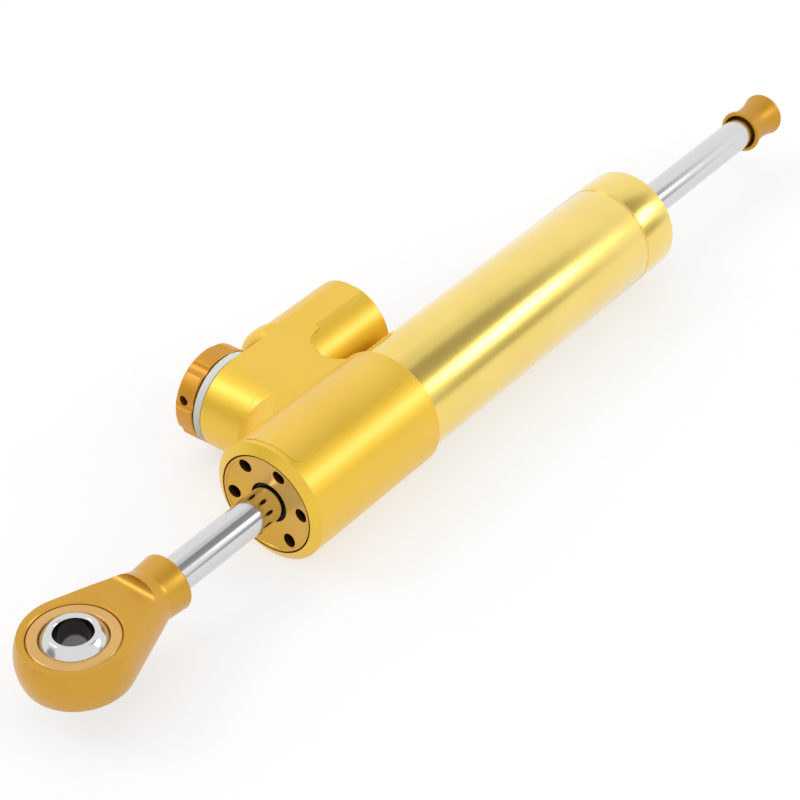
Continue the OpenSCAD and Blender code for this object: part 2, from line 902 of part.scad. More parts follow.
module piston_rod() {
    thread_r = rod_thread_d / 2;
    clip_a = piston_x - piston_len / 2 - clip_t - 2 * press_gap;
    clip_b = piston_x + piston_len / 2;
    groove_w = clip_t + 2 * press_gap;
    color("lightgray")
        turned([
            [rod_start, 0], [rod_start, rod_r - 0.5], [rod_start + 0.5, rod_r],
            [clip_a, rod_r], [clip_a, clip_groove_r], [clip_a + groove_w, clip_groove_r],
            [clip_a + groove_w, rod_r], [clip_b, rod_r], [clip_b, clip_groove_r],
            [clip_b + groove_w, clip_groove_r], [clip_b + groove_w, rod_r],
            [rod_step_x - 0.3, rod_r], [rod_step_x, rod_r - 0.3], [rod_step_x, thread_r],
            [thread_end - 0.5, thread_r], [thread_end, thread_r - 0.5], [thread_end, 0]
        ]);
}

// Eye: turned about the rod's axis, then milled flat on two sides and bored.
eye_r = race_r + eye_wall;
eye_shift = 0.4;

// What the cutter takes off one side of the eye, with the fillet at its end.
module flat_form() {
    reach = eye_r + 5;
    translate([0, reach, 0])
        rotate([90, 0, 0])
            linear_extrude(height = 2 * reach)
                polygon(concat(
                    [[-reach, reach], [-reach, eye_t / 2]],
                    [for (a = [0 : 15 : 90])
                        [flat_end - flat_fillet * (1 - sin(a)), eye_t / 2 + flat_fillet * (1 - cos(a))]],
                    [[flat_end, reach]]
                ));
}

module rod_eye() {
    end_round = 0.6;
    bore_r = race_r + press_gap;
    tangent = tangent_angle(neck_x - eye_shift, neck_r, eye_r);
    color("goldenrod")
        difference() {
            rotate([0, 90, 0])
                rotate_extrude()
                    intersection() {
                        union() {
                            translate([0, eye_shift])
                                circle(r = eye_r);
                            polygon(concat(
                                [
                                    [0, eye_shift],
                                    [(eye_r - relief) * sin(tangent), eye_shift + (eye_r - relief) * cos(tangent)],
                                    [neck_r + 0.08, neck_x - 0.5], [neck_r, neck_x], [neck_r + 0.04, neck_x + 0.5],
                                    [shank_r - 0.05, shank_end - end_round - 0.4]
                                ],
                                [for (a = [90 : -15 : 0])
                                    [shank_r - end_round * (1 - sin(a)), shank_end - end_round * (1 - cos(a))]],
                                [[0, shank_end]]
                            ));
                        }
                        translate([0, -eye_r - 1])
                            square([eye_r + 1, eye_r + shank_end + 2]);
                    }
            for (side = [0, 1])
                mirror([0, 0, side])
                    flat_form();
            rotate_extrude()
                polygon([
                    [0, -eye_t], [bore_r + 0.3, -eye_t], [bore_r + 0.3, -eye_t / 2], [bore_r, -eye_t / 2 + 0.3],
                    [bore_r, eye_t / 2 - 0.3], [bore_r + 0.3, eye_t / 2], [bore_r + 0.3, eye_t], [0, eye_t]
                ]);
            ring_x(rod_start - 0.6, shank_end, rod_r + press_gap);
        }
}

// Angle from the axis to the point where a line from a point [x, r] touches a circle of radius big.
function tangent_angle(x, r, big) = atan2(r, x) + acos(big / norm([x, r]));

module bearing_race() {
    lip = 0.35;
    open_r = sqrt(pow(ball_d / 2, 2) - pow(race_w / 2, 2));
    color("wheat")
        difference() {
            rotate_extrude()
                polygon([
                    [0, -race_w / 2], [race_r - lip, -race_w / 2], [race_r, -race_w / 2 + lip],
                    [race_r, race_w / 2 - lip], [race_r - lip, race_w / 2], [0, race_w / 2]
                ]);
            sphere(d = ball_d + 2 * run_gap);
            for (side = [0, 1])
                mirror([0, 0, side])
                    translate([0, 0, race_w / 2 - 0.6])
                        cylinder(r1 = open_r - 0.1, r2 = open_r + 0.9, h = 1);
        }
}

module bearing_ball() {
    rim = 0.3;
    color("silver")
        difference() {
            intersection() {
                sphere(d = ball_d);
                translate([-ball_d, -ball_d, -ball_w / 2])
                    cube([2 * ball_d, 2 * ball_d, ball_w]);
            }
            rotate_extrude()
                polygon([
                    [0, -ball_w], [bolt_d / 2 + rim, -ball_w], [bolt_d / 2 + rim, -ball_w / 2],
                    [bolt_d / 2, -ball_w / 2 + rim], [bolt_d / 2, ball_w / 2 - rim],
                    [bolt_d / 2 + rim, ball_w / 2], [bolt_d / 2 + rim, ball_w], [0, ball_w]
                ]);
        }
}

module rod_end_cap() {
    thread_r = rod_thread_d / 2 + press_gap;
    bore_r = rod_r + press_gap;
    bore_end = thread_end - spool_x + 0.4;
    step = rod_step_x - spool_x + press_gap;
    bead_r = 0.65;
    bead_end = 1.87 * bead_r;
    end_round = 0.4;
    waist_end = spool_len - end_round;
    sag = spool_r - spool_waist_r;
    waist_curve = (waist_end * waist_end / 4 + sag * sag) / (2 * sag);
    color("darkgoldenrod")
        translate([spool_x, 0, 0])
            turned(concat(
                [[1.6, bore_r], [0.9, rod_r + 0.25], [0, rod_r + 0.6]],
                [for (a = [0 : 15 : 150])
                    [bead_r * (1 - cos(a)), spool_r - bead_r * (1 - sin(a))]],
                [for (i = [0 : 12])
                    let (x = bead_end + (waist_end - bead_end) * i / 12, off = x - waist_end / 2)
                        [x, spool_waist_r + waist_curve - sqrt(waist_curve * waist_curve - off * off)]],
                [for (a = [75 : -15 : 0])
                    [spool_len - end_round * (1 - cos(a)), spool_r - end_round * (1 - sin(a))]],
                [
                    [spool_len, 0], [bore_end, 0], [bore_end, thread_r], [step, thread_r],
                    [step, bore_r]
                ]
            ));
}

head_block();
cylinder_tube();
inner_liner();
front_gland();
front_gland_oring();
front_rod_bush();
front_rod_seal();
front_wiper();
rear_cap();
rear_cap_oring();
rear_rod_bush();
rear_rod_seal();
rear_wiper();
adjuster_cartridge();
cartridge_oring();
valve_seat();
adjuster_washer();
detent_ball();
detent_spring();
reservoir_plug();
reservoir_plug_oring();
reservoir_circlip();
reservoir_spring();
label_film();
piston_ring();
piston_rod();
piston();
piston_clips();
rod_eye();
bearing_race();
rod_end_cap();
bearing_ball();
adjuster_knob();
knob_grub_screw();
adjuster_spindle();
spindle_oring();
metering_needle();
floating_piston();
floating_piston_oring();
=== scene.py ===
import json
import math

import bmesh
import bpy
from mathutils import Matrix, Vector


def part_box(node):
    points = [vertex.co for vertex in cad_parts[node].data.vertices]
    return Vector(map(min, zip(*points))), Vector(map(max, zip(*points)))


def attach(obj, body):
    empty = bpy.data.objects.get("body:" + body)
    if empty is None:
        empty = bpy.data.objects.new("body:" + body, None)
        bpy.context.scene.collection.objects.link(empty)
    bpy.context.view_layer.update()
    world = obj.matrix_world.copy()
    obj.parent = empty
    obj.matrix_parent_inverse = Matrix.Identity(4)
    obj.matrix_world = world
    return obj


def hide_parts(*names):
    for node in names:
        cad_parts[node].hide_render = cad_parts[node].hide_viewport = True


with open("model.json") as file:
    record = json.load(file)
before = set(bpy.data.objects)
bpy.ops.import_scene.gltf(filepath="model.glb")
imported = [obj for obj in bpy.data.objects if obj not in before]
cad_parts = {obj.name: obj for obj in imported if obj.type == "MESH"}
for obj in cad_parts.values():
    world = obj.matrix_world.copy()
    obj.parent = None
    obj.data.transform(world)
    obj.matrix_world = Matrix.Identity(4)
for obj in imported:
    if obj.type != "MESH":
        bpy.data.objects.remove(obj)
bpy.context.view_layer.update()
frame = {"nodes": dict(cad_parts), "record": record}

MM = 0.001


# Sizes in millimetres, taken from the frame where a CAD node gives them

def low(node):
    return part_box(node)[0] / MM


def high(node):
    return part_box(node)[1] / MM


ROD_R = high("piston_rod").z
TUBE_R = high("cylinder_tube").z
TUBE_START = low("cylinder_tube").x
TUBE_JOINT = high("cylinder_tube").x
TUBE_END = high("rear_cap").x
LINER_R = high("inner_liner").z
COLLAR_R = high("head_block").z
HEAD_X = low("head_block").x
SOCKET_DEPTH = 11.5
COLLAR_END = TUBE_START + SOCKET_DEPTH
SPIGOT_R = TUBE_R - 0.3
GLAND_BORE_R = LINER_R + 0.9
GLAND_R = GLAND_BORE_R - 0.35
GLAND_END = low("inner_liner").x - 0.1
DISH_R = GLAND_R - 0.65
WIPER_R = ROD_R + 1.6
MOUTH_R = ROD_R + 0.75
PIN_HOLE_R = 1.6
PIN_CIRCLE_R = DISH_R - 0.1 - PIN_HOLE_R
PIN_COUNT = 6
PIN_TURN = math.radians(-8.1)

WASHER_LOW = low("adjuster_washer")
WASHER_HIGH = high("adjuster_washer")
WASHER_R = WASHER_HIGH.z
BARREL_X = (WASHER_LOW.x + WASHER_HIGH.x) / 2
BARREL_Y = WASHER_LOW.y
BARREL_R = WASHER_R + 0.15
KNOB_BACK = low("adjuster_knob").y + 0.5
KNOB_FRONT = high("adjuster_knob").y
KNOB_R = 10.9
FLUTE_COUNT = 8
FLUTE_WIDTH = 3.2
FLUTE_DEPTH = 0.55
FLUTE_TURN = math.radians(164)
SCREW_TURN = math.radians(160.5)
SCREW_Y = KNOB_BACK + (KNOB_FRONT - KNOB_BACK) * 0.56
SCREW_R = 1.15

PLUG_LOW = low("reservoir_plug")
PLUG_HIGH = high("reservoir_plug")
RESERVOIR_Y = (PLUG_LOW.y + PLUG_HIGH.y) / 2
RESERVOIR_R = 11.2
RESERVOIR_BORE_R = RESERVOIR_R - 1.8
RESERVOIR_END = high("head_block").x
BOSS_X = BARREL_X + KNOB_R + 0.3
BOSS_R = RESERVOIR_R + 0.5
FLAT_Z = 10.7

EYE_R = high("rod_eye").y
EYE_SHIFT = low("rod_eye").x + EYE_R
EYE_T = 9.4
FLAT_END = 18
FLAT_FILLET = 2
NECK_X = 20.8
NECK_R = 6.1
SHANK_R = 6.5
SHANK_END = high("rod_eye").x
RACE_R = high("bearing_race").x
RACE_HALF = high("bearing_race").z
BALL_R = 7.95
BOLT_R = 4

SPOOL_X = low("rod_end_cap").x
SPOOL_END = high("rod_end_cap").x
SPOOL_R = high("rod_end_cap").z
SPOOL_WAIST_R = 4.6

ROUND = 0.12
FINE_ROUND = 0.04
PRESS_GAP = 0.02
FULL_ROUND = 256


# Colours

def linear(code):
    """An sRGB hex colour as linear RGBA."""
    def channel(pair):
        value = int(pair, 16) / 255
        return value / 12.92 if value <= 0.04045 else ((value + 0.055) / 1.055) ** 2.4
    return tuple(channel(code[i:i + 2]) for i in (1, 3, 5)) + (1,)


def add(tree, kind, settings=None, inputs=None):
    """A shader node with its settings, and its inputs set or linked."""
    made = tree.nodes.new(kind)
    for name, value in (settings or {}).items():
        setattr(made, name, value)
    for name, value in (inputs or {}).items():
        socket = made.inputs[name]
        if isinstance(value, bpy.types.NodeSocket):
            tree.links.new(value, socket)
        else:
            socket.default_value = value
    return made


def blank(name):
    material = bpy.data.materials.new(name)
    material.use_nodes = True
    material.node_tree.nodes.clear()
    return material, material.node_tree


def close(tree, shader):
    add(tree, "ShaderNodeOutputMaterial", inputs={"Surface": shader.outputs[0]})


def ramp(tree, source, stops):
    made = add(tree, "ShaderNodeValToRGB", inputs={"Fac": source})
    while len(made.color_ramp.elements) < len(stops):
        made.color_ramp.elements.new(0.5)
    for element, (place, colour) in zip(made.color_ramp.elements, stops):
        element.position = place
        element.color = colour
    return made.outputs["Color"]


def darkened(tree, colour, part, dark):
    """The colour, darkened where part is 1, as inside a hole that little light reaches."""
    made = add(tree, "ShaderNodeMix", {"data_type": "RGBA"}, {0: part, 6: colour, 7: linear(dark)})
    return made.outputs[2]


# Grain, tool marks and polishing lines are finer on the real part, and are drawn this coarse to show.
BLAST_GRAIN = 0.35
TOOL_MARK = 0.3
POLISH_LINE = 0.4
MOULD_GRAIN = 0.2
MARK_DEPTH = 0.02
DYE_CLOUD = 14
METAL_EDGE = 0.2
SMALL_EDGE = 0.15
HOLE_SHADE_FADE = 1.2
BORE_SPARE = 0.05
SKIN_IOR = 1.65
LINES_ALONG_X = (0.04, 1, 1)


def noise(tree, place, size, detail=2.0):
    """A cloudy pattern whose patches are about size millimetres across."""
    made = add(tree, "ShaderNodeTexNoise", inputs={
        "Vector": place, "Scale": 1 / (size * MM), "Detail": detail})
    return made.outputs["Fac"]


def worn_edge(tree, size):
    """A normal that rounds off the piece's edges by size millimetres."""
    return add(tree, "ShaderNodeBevel", {"samples": 6}, {"Radius": size * MM}).outputs["Normal"]


def relief(tree, height, strength, normal):
    """A shallow relief over that normal."""
    made = add(tree, "ShaderNodeBump", inputs={
        "Strength": strength, "Distance": MARK_DEPTH * MM, "Height": height, "Normal": normal})
    return made.outputs["Normal"]


def anodised(name, dark, light, rough, marks=None, coat=0.5, coat_rough=0.25, hole_shade_from=None):
    """Dyed anodised aluminium: a clear oxide skin over satin metal, with fine machining marks under it.
    marks is the axis that the tool turned about, or None where the face was bead blasted.
    hole_shade_from is the x in millimetres past which only the walls of drilled holes show, and there the
    colour is darkened to near black as painted shade."""
    material, tree = blank(name)
    place = add(tree, "ShaderNodeTexCoord").outputs["Object"]
    colour = ramp(tree, noise(tree, place, DYE_CLOUD, 3.0), [(0.3, linear(dark)), (0.7, linear(light))])
    height = noise(tree, place, BLAST_GRAIN)
    split = add(tree, "ShaderNodeSeparateXYZ", inputs={"Vector": place})
    if hole_shade_from:
        hole_shade = add(tree, "ShaderNodeMapRange", inputs={
            "Value": split.outputs["X"], "From Min": hole_shade_from * MM,
            "From Max": (hole_shade_from + HOLE_SHADE_FADE) * MM})
        # Painted shade: down the pin holes the colour fades to near black, as where little light reaches
        colour = darkened(tree, colour, hole_shade.outputs[0], "#4A1C06")
    if marks:
        rings = add(tree, "ShaderNodeTexNoise", {"noise_dimensions": "1D"},
                    {"Scale": 1 / (TOOL_MARK * MM), "Detail": 3.0})
        tree.links.new(split.outputs[marks], rings.inputs["W"])
        height = add(tree, "ShaderNodeMix", {"data_type": "FLOAT"},
                     {0: 0.65, 2: height, 3: rings.outputs["Fac"]}).outputs[0]
    gloss = add(tree, "ShaderNodeMapRange", inputs={
        "Value": height, "To Min": rough - 0.03, "To Max": rough + 0.03})
    shader = add(tree, "ShaderNodeBsdfPrincipled", inputs={
        "Base Color": colour, "Metallic": 1.0, "Roughness": gloss.outputs[0],
        "Coat Weight": coat, "Coat Roughness": coat_rough, "Coat IOR": SKIN_IOR,
        "Normal": relief(tree, height, 0.1, worn_edge(tree, METAL_EDGE))})
    close(tree, shader)
    return material


def polished(name, colour, rough, shaded_bore_mm=None):
    """Hard chrome or ground steel: mirror-like, with faint polishing lines that soften it.
    shaded_bore_mm is the radius of a reamed hole along Z, whose wall is painted dark grey as shade."""
    material, tree = blank(name)
    place = add(tree, "ShaderNodeTexCoord").outputs["Object"]
    stretched = add(tree, "ShaderNodeMapping", inputs={"Vector": place, "Scale": LINES_ALONG_X})
    gloss = add(tree, "ShaderNodeMapRange", inputs={
        "Value": noise(tree, stretched.outputs[0], POLISH_LINE, 3.0),
        "To Min": rough * 0.7, "To Max": rough * 1.3})
    shader = add(tree, "ShaderNodeBsdfPrincipled", inputs={
        "Base Color": linear(colour), "Metallic": 1.0, "Roughness": gloss.outputs[0],
        "Normal": worn_edge(tree, SMALL_EDGE)})
    if shaded_bore_mm:
        flat = add(tree, "ShaderNodeVectorMath", {"operation": "MULTIPLY"}, {0: place, 1: (1, 1, 0)})
        reach = add(tree, "ShaderNodeVectorMath", {"operation": "LENGTH"}, {0: flat.outputs[0]})
        inside = add(tree, "ShaderNodeMath", {"operation": "LESS_THAN"}, {
            0: reach.outputs["Value"], 1: (shaded_bore_mm + BORE_SPARE) * MM})
        # Painted shade: inside the bore the chrome colour is darkened to dark grey
        bore_shade = darkened(tree, linear(colour), inside.outputs[0], "#6E6C6A")
        tree.links.new(bore_shade, shader.inputs["Base Color"])
    close(tree, shader)
    return material


def moulded(name, dark, light, rough):
    """Plastic or rubber with a fine moulded grain."""
    material, tree = blank(name)
    place = add(tree, "ShaderNodeTexCoord").outputs["Object"]
    grain = noise(tree, place, MOULD_GRAIN)
    colour = ramp(tree, grain, [(0.3, linear(dark)), (0.7, linear(light))])
    shader = add(tree, "ShaderNodeBsdfPrincipled", inputs={
        "Base Color": colour, "Roughness": rough, "IOR": 1.5,
        "Normal": relief(tree, grain, 0.2, worn_edge(tree, SMALL_EDGE))})
    close(tree, shader)
    return material


# Gold anodised aluminium, bead blasted: a broad soft sheen in a warm yellow
HEAD_GOLD = anodised("anodised gold block", "#EEC43A", "#F2C940", 0.47)
# The same on the turned and milled eye, dyed deeper, which looks like dull brass
EYE_GOLD = anodised("anodised gold eye", "#CF9A24", "#D4A028", 0.42)
# The same, faced on a lathe: a little brighter, with painted shade near black down the pin holes
GLAND_GOLD = anodised("anodised gold gland", "#D6A32C", "#DCAA32", 0.34, hole_shade_from=HEAD_X + 0.95)
# Pale gold anodised aluminium, turned and polished: a narrow white highlight along the tube
TUBE_GOLD = anodised(
    "anodised pale gold tube", "#F4D468", "#F7D96E", 0.24, marks="X", coat=0.8, coat_rough=0.15)
# Amber anodised aluminium, turned: an orange satin face with faint rings
KNOB_GOLD = anodised("anodised amber knob", "#D2962A", "#D99E32", 0.48, marks="Y", coat=0.3)
# The same, turned about the rod, and duller still
SPOOL_GOLD = anodised("anodised amber end piece", "#C99328", "#CF9B30", 0.5, marks="X", coat=0.2)
# Hard chrome on steel, ground and polished: a mirror drawn out along the rod
CHROME = polished("hard chromed steel", "#D8D8D9", 0.12)
# Steel left ground: grey with a blurred sheen
STEEL = polished("ground steel", "#8C8D90", 0.28)
# Chromed ball with a reamed hole: a mirror outside, with painted shade in dark grey within
BALL_CHROME = polished("chromed swivel ball", "#D8D8D9", 0.1, shaded_bore_mm=BOLT_R)
# Yellow passivated steel: a pale brassy ring
RACE_STEEL = anodised("passivated bearing race", "#D6A860", "#DEB26C", 0.3, coat=0.3)
# Bronze as machined, with no skin: brown and softly bright
BRONZE = anodised("machined bronze", "#A5713A", "#B58146", 0.35, coat=0.0)
# Acetal cut from sheet: off-white with a low gloss
ACETAL = moulded("cut white acetal", "#CCD0C8", "#DADED6", 0.4)
# Nitrile rubber as moulded: near black and dull
NITRILE = moulded("moulded nitrile rubber", "#0B0B0B", "#161616", 0.5)
# Clear film laid on the gold block: the same gold under a smoother gloss
FILM_GOLD = anodised("clear film over gold", "#EEC43A", "#F2C940", 0.45, coat=0.7, coat_rough=0.2)

SLOT_MATERIALS = {
    "anodised_head": HEAD_GOLD, "anodised_tube": TUBE_GOLD, "anodised_dark": KNOB_GOLD,
    "chrome_steel": CHROME, "race_steel": RACE_STEEL, "steel": STEEL, "bronze": BRONZE,
    "nitrile": NITRILE, "white_plastic": ACETAL, "clear_film": FILM_GOLD,
}


# Mesh helpers

ALONG_X = Matrix(((0, 0, 1, 0), (0, 1, 0, 0), (-1, 0, 0, 0), (0, 0, 0, 1)))
ALONG_Y = Matrix(((1, 0, 0, 0), (0, 0, 1, 0), (0, -1, 0, 0), (0, 0, 0, 1)))
ALONG_Z = Matrix.Identity(4)


def softened(points, radius=ROUND, closed=True):
    """The profile with each corner rounded off."""
    steps = 3
    result = []
    count = len(points)
    for i, point in enumerate(points):
        here = Vector(point)
        if not closed and i in (0, count - 1):
            result.append(tuple(here))
            continue
        back = Vector(points[i - 1]) - here
        ahead = Vector(points[(i + 1) % count]) - here
        if back.length < 1e-6 or ahead.length < 1e-6:
            continue
        straight = back.angle(ahead) > math.radians(165)
        if straight or here[0] < 1e-6:
            result.append(tuple(here))
            continue
        reach = min(radius, back.length * 0.45, ahead.length * 0.45)
        start = here + back.normalized() * reach
        end = here + ahead.normalized() * reach
        for k in range(steps + 1):
            t = k / steps
            result.append(tuple(start * (1 - t) ** 2 + here * (2 * t * (1 - t)) + end * t ** 2))
    return result


def shade(obj, angle=34):
    obj.data.shade_smooth()
    obj.data.set_sharp_from_angle(angle=math.radians(angle))


def to_object(name, bm, place):
    """A bmesh in millimetres as an object in metres, with its place in its mesh."""
    bmesh.ops.remove_doubles(bm, verts=bm.verts, dist=1e-5)
    bmesh.ops.recalc_face_normals(bm, faces=bm.faces)
    bm.transform(Matrix.Scale(MM, 4) @ place)
    mesh = bpy.data.meshes.new(name)
    bm.to_mesh(mesh)
    bm.free()
    obj = bpy.data.objects.new(name, mesh)
    bpy.context.scene.collection.objects.link(obj)
    return obj


def turned(name, profile, place=ALONG_X, segments=160, closed=False):
    """A solid turned from a profile of (radius, distance along the axis)."""
    bm = bmesh.new()
    verts = [bm.verts.new((r, 0, h)) for r, h in profile]
    edges = [bm.edges.new(pair) for pair in zip(verts, verts[1:])]
    if closed:
        edges.append(bm.edges.new((verts[-1], verts[0])))
    bmesh.ops.spin(bm, geom=verts + edges, cent=(0, 0, 0), axis=(0, 0, 1),
                   angle=2 * math.pi, steps=segments, use_merge=True, use_duplicate=False)
    return to_object(name, bm, place)


def ring(name, profile, place=ALONG_X, radius=ROUND, segments=160):
    """A turned ring from a closed profile, with its edges rounded."""
    return turned(name, softened(profile, radius), place, segments, closed=True)


def prism(name, outline, bottom, top, place=ALONG_Z):
    bm = bmesh.new()
    face = bm.faces.new([bm.verts.new((x, y, bottom)) for x, y in outline])
    raised = bmesh.ops.extrude_face_region(bm, geom=[face])
    verts = [item for item in raised["geom"] if isinstance(item, bmesh.types.BMVert)]
    bmesh.ops.translate(bm, vec=(0, 0, top - bottom), verts=verts)
    return to_object(name, bm, place)


def ball(name, radius, centre):
    bm = bmesh.new()
    bmesh.ops.create_uvsphere(bm, u_segments=128, v_segments=64, radius=radius)
    return to_object(name, bm, Matrix.Translation(centre) @ Matrix.Rotation(math.radians(40), 4, "Y"))


def combine(piece, tool, operation):
    """Joins a tool to a piece, cuts it away or keeps what both share, and removes the tool."""
    modifier = piece.modifiers.new("shape", "BOOLEAN")
    modifier.operation = operation
    modifier.solver = "EXACT"
    modifier.object = tool
    bpy.context.view_layer.update()
    graph = bpy.context.evaluated_depsgraph_get()
    mesh = bpy.data.meshes.new_from_object(piece.evaluated_get(graph))
    piece.modifiers.clear()
    old = piece.data
    piece.data = mesh
    mesh.name = piece.name
    bpy.data.meshes.remove(old)
    bpy.data.objects.remove(tool)
    return piece


def finish(piece, body, material, slot, *nodes, angle=34):
    """Shades a piece, paints it, and puts it on its body in place of the CAD nodes it stands for."""
    piece.data.materials.clear()
    piece.data.materials.append(material)
    shade(piece, angle)
    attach(piece, body)
    if nodes:
        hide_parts(*nodes)
    return piece


def at(x=0, y=0, z=0, turn=ALONG_X):
    return Matrix.Translation((x, y, z)) @ turn


def arc(centre, radius, start, end, steps=8):
    """Points on an arc, with angles in degrees from the radius axis."""
    return [
        (centre[0] + radius * math.cos(math.radians(a)), centre[1] + radius * math.sin(math.radians(a)))
        for a in [start + (end - start) * i / steps for i in range(steps + 1)]
    ]


# Head block: collar, gusset, barrel, web, boss and reservoir

CHAMFER_R = GLAND_BORE_R + 0.15
CHAMFER_LENGTH = 1.4
GUSSET_START = Vector((HEAD_X + 8.2, 2.05))
GUSSET_END = Vector((BARREL_X, 12.4))
WEB_END = COLLAR_END + 2.6
SCALLOP_R = 6.9
SCALLOP = (COLLAR_END + 1.9, (TUBE_R + RESERVOIR_Y) / 2 - 5.1)
STEP_Y = TUBE_R + 4.2
STEP_DEPTH = 0.15
RIM_CUT = 0.4
BOSS_END = BOSS_X + 4.6
BOSS_ROUND = 3
# Faces that would lie in one plane are parted by this, which booleans need
PARTED = 0.01


def make_head():
    barrel = turned("barrel", [
        (0, 0), (BARREL_R + PARTED, 0), (BARREL_R + PARTED, STEP_Y),
        (BARREL_R - STEP_DEPTH, STEP_Y + STEP_DEPTH), (BARREL_R - STEP_DEPTH, BARREL_Y - 0.3),
        (BARREL_R - 0.45, BARREL_Y), (0, BARREL_Y)
    ], at(BARREL_X, turn=ALONG_Y), FULL_ROUND)
    run = GUSSET_END - GUSSET_START
    lean = Matrix.Rotation(math.atan2(run.y, run.x), 4, "Z")
    gusset_place = Matrix.Translation((GUSSET_START.x, GUSSET_START.y, 0)) @ lean @ ALONG_X
    gusset = turned("gusset", [
        (0, 0), (BARREL_R + 2 * PARTED, 0), (BARREL_R + 2 * PARTED, run.length), (0, run.length)
    ], gusset_place, FULL_ROUND)
    web = prism("web", [
        tuple(GUSSET_START), tuple(GUSSET_END), (BARREL_X, BARREL_Y), (BOSS_END, BARREL_Y),
        (BOSS_END, RESERVOIR_Y), (WEB_END, RESERVOIR_Y), (WEB_END, 1), (GUSSET_START.x, 1)
    ], -FLAT_Z - 1, FLAT_Z + 1)
    for side in (-1, 1):
        combine(web, ball("scallop", SCALLOP_R, (*SCALLOP, side * FLAT_Z)), "DIFFERENCE")
    steps = 12
    fade = BOSS_R - RESERVOIR_R + 0.3
    nose = arc((BOSS_R - BOSS_ROUND, BOSS_X + BOSS_ROUND), BOSS_ROUND, -90, 0, steps)
    tail = [
        (BOSS_R - fade * (1 - math.cos(math.pi * t / steps)) / 2, BOSS_END + 3 * t / steps)
        for t in range(steps + 1)
    ]
    boss = turned("boss", [(0, BOSS_X)] + nose + tail + [(0, BOSS_END + 3)], at(y=RESERVOIR_Y), FULL_ROUND)
    reservoir = turned("reservoir", [
        (0, BOSS_X + BOSS_ROUND), (RESERVOIR_R + PARTED, BOSS_X + BOSS_ROUND),
        (RESERVOIR_R + PARTED, RESERVOIR_END - RIM_CUT), (RESERVOIR_R - RIM_CUT, RESERVOIR_END),
        (0, RESERVOIR_END)
    ], at(y=RESERVOIR_Y), FULL_ROUND)
    block = barrel
    for part in (gusset, web, boss, reservoir):
        combine(block, part, "UNION")
    front, rear, far = HEAD_X - 5, RESERVOIR_END + 5, 60
    slab = prism("slab", [(front, -1), (rear, -1), (rear, far), (front, far)], -FLAT_Z, FLAT_Z)
    combine(block, slab, "INTERSECT")
    collar = turned("collar", [
        (0, HEAD_X), (CHAMFER_R, HEAD_X), (COLLAR_R, HEAD_X + CHAMFER_LENGTH),
        (COLLAR_R, COLLAR_END - RIM_CUT), (COLLAR_R - RIM_CUT, COLLAR_END), (0, COLLAR_END)
    ], segments=FULL_ROUND)
    combine(block, collar, "UNION")
    bore = turned("bore", [
        (0, HEAD_X - 1), (GLAND_BORE_R, HEAD_X - 1), (GLAND_BORE_R, GLAND_END),
        (LINER_R + PRESS_GAP, GLAND_END),
        (LINER_R + PRESS_GAP, TUBE_START - 2), (TUBE_R - 1.3, TUBE_START - 2), (TUBE_R - 1.3, TUBE_START),
        (SPIGOT_R + PRESS_GAP, TUBE_START), (SPIGOT_R + PRESS_GAP, COLLAR_END),
        (TUBE_R + PRESS_GAP, COLLAR_END),
        (TUBE_R + PRESS_GAP, WEB_END + 1), (0, WEB_END + 1)
    ], segments=192)
    combine(block, bore, "DIFFERENCE")
    cavity = turned("cavity", [
        (0, TUBE_R - 2.5), (1.5, TUBE_R - 2.5), (1.5, TUBE_R - 0.8), (3.5, TUBE_R - 0.8),
        (3.5, TUBE_R + 3.5), (8, TUBE_R + 3.5), (8, BARREL_Y + 5), (0, BARREL_Y + 5)
    ], at(BARREL_X, turn=ALONG_Y), segments=96)
    combine(block, cavity, "DIFFERENCE")
    clip_x = PLUG_HIGH.x + PRESS_GAP
    chamber = turned("chamber", [
        (0, BOSS_X + 3.7), (RESERVOIR_BORE_R, BOSS_X + 3.7), (RESERVOIR_BORE_R, clip_x),
        (RESERVOIR_BORE_R + 0.6, clip_x), (RESERVOIR_BORE_R + 0.6, clip_x + 1.1),
        (RESERVOIR_BORE_R, clip_x + 1.1), (RESERVOIR_BORE_R, RESERVOIR_END + 1), (0, RESERVOIR_END + 1)
    ], at(y=RESERVOIR_Y), segments=128)
    combine(block, chamber, "DIFFERENCE")
    block.name = "machined_head"
    finish(block, "cylinder", HEAD_GOLD, "anodised_head", "head_block", angle=7)
    evened = block.modifiers.new("even shading", "WEIGHTED_NORMAL")
    evened.keep_sharp = True


def make_tube():
    shoulder = COLLAR_END + PRESS_GAP
    tube = ring("polished_tube", [
        (TUBE_R - 1.3, TUBE_START), (SPIGOT_R, TUBE_START), (SPIGOT_R, shoulder), (TUBE_R, shoulder),
        (TUBE_R, TUBE_JOINT - 0.2), (TUBE_R - 0.2, TUBE_JOINT - 0.2), (TUBE_R - 0.2, TUBE_JOINT),
        (TUBE_R - 1.3, TUBE_JOINT)
    ], radius=FINE_ROUND, segments=FULL_ROUND)
    finish(tube, "cylinder", TUBE_GOLD, "anodised_tube", "cylinder_tube")


def guide_profile(depth, mouth=0):
    """Room for wiper, bush and seal behind a narrow lip, as (radius, distance in from the mouth)."""
    return [
        (MOUTH_R, mouth), (MOUTH_R, 1.7), (WIPER_R, 1.7), (WIPER_R, 4.1), (ROD_R + 1.2, 4.1),
        (ROD_R + 1.2, 10.6), (ROD_R + 2.2, 10.6), (ROD_R + 2.2, 14.2), (ROD_R + 0.3, 14.2),
        (ROD_R + 0.3, depth)
    ]


